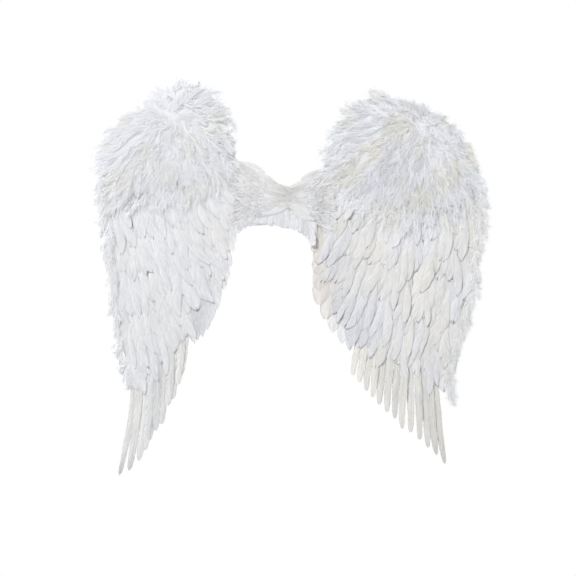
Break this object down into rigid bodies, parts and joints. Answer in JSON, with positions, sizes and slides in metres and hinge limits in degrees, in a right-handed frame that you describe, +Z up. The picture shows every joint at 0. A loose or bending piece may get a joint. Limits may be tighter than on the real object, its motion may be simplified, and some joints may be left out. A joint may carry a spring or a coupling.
{
  "type": "feathered costume wings",
  "caption": "Pair of white feathered costume wings joined by a padded centre yoke, with down crests, rows of covert feathers, long flight feathers and elastic shoulder straps.",
  "frame": {"origin": "middle of the yoke's flat back, where the wings lie between the wearer's shoulder blades", "axes": "+Y towards the wearer, +Z up, +X to the right of a viewer who faces the feathers"},
  "size_m": [0.6579, 0.2204, 0.6544],
  "materials": {
    "covert": "white covert feathers, silky",
    "flight": "white flight feathers, faint cream",
    "down": "white down, matte",
    "felt": "off-white felt, matte",
    "elastic": "white woven elastic, matte"
  },
  "bodies": {
    "root": {"yoke_panel": "felt", "yoke_feathers_left": "covert", "yoke_feathers_right": "covert", "yoke_feathers_lower": "covert", "backing_left": "felt", "backing_right": "felt", "covert_row_left_1": "covert", "covert_row_left_2": "covert", "covert_row_left_3": "covert", "covert_row_left_4": "covert", "covert_row_left_5": "covert", "covert_row_left_6": "covert", "covert_row_right_1": "covert", "covert_row_right_2": "covert", "covert_row_right_3": "covert", "covert_row_right_4": "covert", "covert_row_right_5": "covert", "covert_row_right_6": "covert", "flight_feather_left_01": "flight", "flight_feather_left_02": "flight", "flight_feather_left_03": "flight", "flight_feather_left_04": "flight", "flight_feather_left_05": "flight", "flight_feather_left_06": "flight", "flight_feather_left_07": "flight", "flight_feather_left_08": "flight", "flight_feather_left_09": "flight", "flight_feather_left_10": "flight", "flight_feather_left_11": "flight", "flight_feather_right_01": "flight", "flight_feather_right_02": "flight", "flight_feather_right_03": "flight", "flight_feather_right_04": "flight", "flight_feather_right_05": "flight", "flight_feather_right_06": "flight", "flight_feather_right_07": "flight", "flight_feather_right_08": "flight", "flight_feather_right_09": "flight", "flight_feather_right_10": "flight", "flight_feather_right_11": "flight", "flight_feather_right_12": "flight", "flight_feather_right_13": "flight", "inner_feathers_left": "covert", "inner_feathers_right": "covert", "marabou_crest_left": "down", "marabou_crest_right": "down", "marabou_edge_left": "down", "marabou_edge_right": "down", "shoulder_strap_left": "elastic", "shoulder_strap_right": "elastic"}
  },
  "joints": []
}
